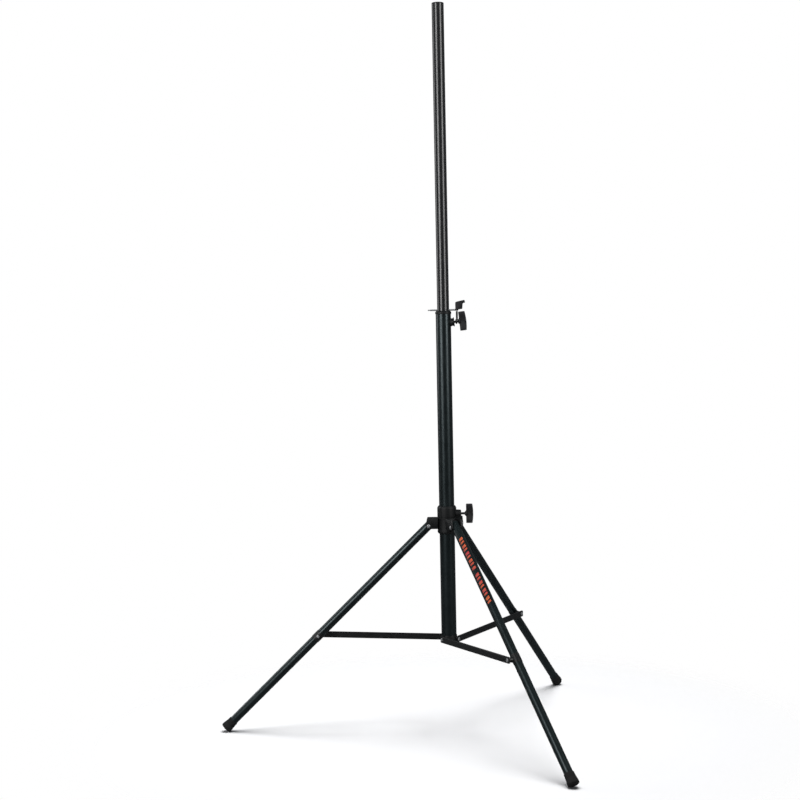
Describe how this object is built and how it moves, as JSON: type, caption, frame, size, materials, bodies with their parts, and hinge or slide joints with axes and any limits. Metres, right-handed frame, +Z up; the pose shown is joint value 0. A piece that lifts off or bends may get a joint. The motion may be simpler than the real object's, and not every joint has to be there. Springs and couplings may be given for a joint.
{
  "type": "speaker stand",
  "caption": "Tripod stand for a loudspeaker: mast with extending pole, safety pin, wing-knob clamps, sliding leg hub, round legs with rubber feet and channel braces.",
  "frame": {"origin": "the point of the floor on the mast's axis, with the legs spread", "axes": "+Z up along the mast; +X towards the side with both clamp knobs and the safety pin's grip; the legs lie at 60, 180 and 300 degrees from +X"},
  "size_m": [1.0319, 1.1864, 2.1285],
  "materials": {
    "tube_paint": "satin",
    "pressed_paint": "satin",
    "hub_plastic": "matt",
    "cap_plastic": "matt",
    "knob_plastic": "matt",
    "foot_rubber": "matt",
    "zinc_steel": "satin",
    "black_steel": "satin",
    "nylon": "matt"
  },
  "bodies": {
    "mast": {"outer_tube": "tube_paint", "collar_bush": "hub_plastic", "top_clamp_boss": "pressed_paint", "upper_pad": "nylon", "pin_strap": "cap_plastic", "lower_bracket": "pressed_paint", "bottom_plug": "cap_plastic", "inner_rivets": "zinc_steel"},
    "pole": {"inner_pole": "tube_paint", "pole_cap": "cap_plastic", "pole_guide": "cap_plastic"},
    "safety_pin": {"pin_rod": "zinc_steel", "pin_grip": "knob_plastic"},
    "upper_knob": {"upper_knob": "knob_plastic", "upper_knob_screw": "black_steel"},
    "hub": {"leg_hub": "hub_plastic", "lower_pad": "nylon", "pivot_rivets": "zinc_steel"},
    "lower_knob": {"lower_knob": "knob_plastic", "lower_knob_screw": "black_steel"},
    "leg_left": {"leg_tube_left": "tube_paint", "leg_plug_left": "cap_plastic", "foot_left": "foot_rubber", "leg_clip_left": "pressed_paint"},
    "brace_left": {"brace_left": "pressed_paint", "outer_rivet_left": "zinc_steel"},
    "leg_front": {"leg_tube_front": "tube_paint", "leg_plug_front": "cap_plastic", "foot_front": "foot_rubber", "leg_clip_front": "pressed_paint"},
    "brace_front": {"brace_front": "pressed_paint", "outer_rivet_front": "zinc_steel"},
    "leg_back": {"leg_tube_back": "tube_paint", "leg_plug_back": "cap_plastic", "foot_back": "foot_rubber", "leg_clip_back": "pressed_paint"},
    "brace_back": {"brace_back": "pressed_paint", "outer_rivet_back": "zinc_steel"}
  },
  "joints": [
    {"name": "pole_slide", "type": "slide", "parent": "mast", "child": "pole", "axis": [0, 0, 1], "range_m": [-0.72, 0]},
    {"name": "pin_pull", "type": "slide", "parent": "mast", "child": "safety_pin", "axis": [1, 0, 0], "range_m": [0, 0.07]},
    {"name": "upper_knob_turn", "type": "hinge", "parent": "mast", "child": "upper_knob", "pos_m": [0.05569, 0, 1.21005], "axis": [0.9945, 0, 0.1045], "range_deg": [0, 360]},
    {"name": "hub_slide", "type": "slide", "parent": "mast", "child": "hub", "axis": [0, 0, 1], "range_m": [0, 0.505]},
    {"name": "lower_knob_turn", "type": "hinge", "parent": "hub", "child": "lower_knob", "pos_m": [0.0675, 0, 0.6458], "axis": [1, 0, 0], "range_deg": [0, 360]},
    {"name": "leg_left_fold", "type": "hinge", "parent": "hub", "child": "leg_left", "pos_m": [-0.054, 0, 0.611], "axis": [0, -1, 0], "range_deg": [0, 44]},
    {"name": "brace_left_fold", "type": "hinge", "parent": "mast", "child": "brace_left", "pos_m": [-0.008, 0, 0.2753], "axis": [0, -1, 0], "range_deg": [-79.3, 0]},
    {"name": "leg_front_fold", "type": "hinge", "parent": "hub", "child": "leg_front", "pos_m": [0.027, -0.04677, 0.611], "axis": [0.866, 0.5, 0], "range_deg": [0, 44]},
    {"name": "brace_front_fold", "type": "hinge", "parent": "mast", "child": "brace_front", "pos_m": [0.004, -0.00693, 0.2753], "axis": [0.866, 0.5, 0], "range_deg": [-79.3, 0]},
    {"name": "leg_back_fold", "type": "hinge", "parent": "hub", "child": "leg_back", "pos_m": [0.027, 0.04677, 0.611], "axis": [-0.866, 0.5, 0], "range_deg": [0, 44]},
    {"name": "brace_back_fold", "type": "hinge", "parent": "mast", "child": "brace_back", "pos_m": [0.004, 0.00693, 0.2753], "axis": [-0.866, 0.5, 0], "range_deg": [-79.3, 0]}
  ],
  "couplings": [
    {"joint": "leg_left_fold", "follows": "hub_slide", "rad_per_m": 1.5172},
    {"joint": "brace_left_fold", "follows": "hub_slide", "rad_per_m": -2.7371},
    {"joint": "leg_front_fold", "follows": "hub_slide", "rad_per_m": 1.5172},
    {"joint": "brace_front_fold", "follows": "hub_slide", "rad_per_m": -2.7371},
    {"joint": "leg_back_fold", "follows": "hub_slide", "rad_per_m": 1.5172},
    {"joint": "brace_back_fold", "follows": "hub_slide", "rad_per_m": -2.7371}
  ]
}
